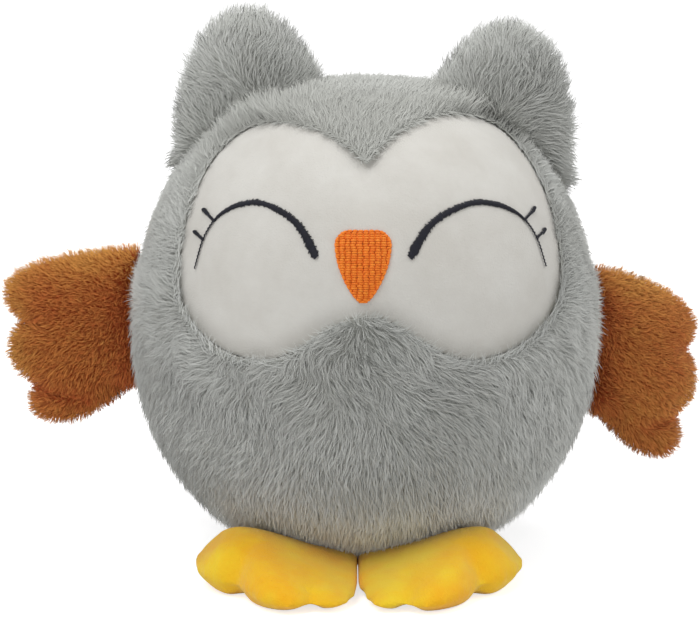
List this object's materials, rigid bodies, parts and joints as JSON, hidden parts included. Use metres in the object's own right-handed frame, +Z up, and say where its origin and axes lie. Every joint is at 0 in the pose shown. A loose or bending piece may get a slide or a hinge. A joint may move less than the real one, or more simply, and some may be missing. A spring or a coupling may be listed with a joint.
{
  "type": "plush owl warmer",
  "caption": "Round plush owl with tufted ears, soft wings and feet, and a back pocket with a flap that holds a removable grain heat pouch.",
  "frame": {"origin": "on the floor, in the middle of the round base gusset", "axes": "+Z up, the face looks along -Y, and the owl's left wing points along +X"},
  "size_m": [0.2604, 0.1745, 0.2018],
  "materials": {
    "grey_plush": "long soft grey pile, combed in loose tufts",
    "base_plush": "short grey pile, slightly flattened",
    "face_plush": "short dense off-white pile, matt",
    "wing_plush": "curly brown pile with ochre tips",
    "foot_plush": "short warm yellow pile with a soft sheen",
    "beak_thread": "orange embroidery thread with a satin sheen",
    "eye_thread": "dark navy embroidery thread with a satin sheen",
    "fibre": "white polyester fibre filling",
    "lining": "plain woven grey lining",
    "fastener": "grey woven touch fastener",
    "pouch_cotton": "plain unbleached cotton",
    "grain": "dry wheat grain"
  },
  "bodies": {
    "body": {"face_panel": "face_plush", "brow_panel": "grey_plush", "belly_panel": "grey_plush", "back_upper_panel": "grey_plush", "back_lower_panel": "grey_plush", "base_panel": "base_plush", "beak": "beak_thread", "left_eye": "eye_thread", "right_eye": "eye_thread", "left_ear_front": "grey_plush", "left_ear_back": "grey_plush", "left_ear_stuffing": "fibre", "right_ear_front": "grey_plush", "right_ear_back": "grey_plush", "right_ear_stuffing": "fibre", "body_stuffing": "fibre", "pocket_lining": "lining", "loop_strip": "fastener"},
    "pocket_flap": {"pocket_flap": "grey_plush", "hook_strip": "fastener"},
    "heat_pouch": {"pouch_upper_panel": "pouch_cotton", "pouch_lower_panel": "pouch_cotton", "pouch_grain": "grain"},
    "left_wing": {"left_wing_front": "wing_plush", "left_wing_back": "wing_plush", "left_wing_stuffing": "fibre"},
    "left_foot": {"left_foot_upper": "foot_plush", "left_foot_sole": "foot_plush", "left_foot_stuffing": "fibre"},
    "right_wing": {"right_wing_front": "wing_plush", "right_wing_back": "wing_plush", "right_wing_stuffing": "fibre"},
    "right_foot": {"right_foot_upper": "foot_plush", "right_foot_sole": "foot_plush", "right_foot_stuffing": "fibre"}
  },
  "joints": [
    {"name": "heat_pouch_slide", "type": "slide", "parent": "body", "child": "heat_pouch", "axis": [0, 1, 0], "range_m": [0, 0.08]},
    {"name": "pocket_flap_open", "type": "hinge", "parent": "body", "child": "pocket_flap", "pos_m": [0, 0.07942, 0.10014], "axis": [1, 0, 0], "range_deg": [0, 150]},
    {"name": "left_wing_swing", "type": "hinge", "parent": "body", "child": "left_wing", "pos_m": [0.08615, 0.008, 0.07863], "axis": [0, 0, 1], "range_deg": [-75, 20], "stiffness_Nm_per_rad": 0.02},
    {"name": "right_wing_swing", "type": "hinge", "parent": "body", "child": "right_wing", "pos_m": [-0.08615, 0.008, 0.08464], "axis": [0, 0, -1], "range_deg": [-53, 42], "stiffness_Nm_per_rad": 0.02},
    {"name": "left_foot_tilt", "type": "hinge", "parent": "body", "child": "left_foot", "pos_m": [0.0297, -0.05025, 0.011], "axis": [-1, 0, 0], "range_deg": [0, 15], "stiffness_Nm_per_rad": 0.05},
    {"name": "right_foot_tilt", "type": "hinge", "parent": "body", "child": "right_foot", "pos_m": [-0.0297, -0.05025, 0.011], "axis": [-1, 0, 0], "range_deg": [0, 15], "stiffness_Nm_per_rad": 0.05}
  ],
  "couplings": [
    {"joint": "pocket_flap_open", "follows": "heat_pouch_slide", "rad_per_m": 32.72}
  ]
}
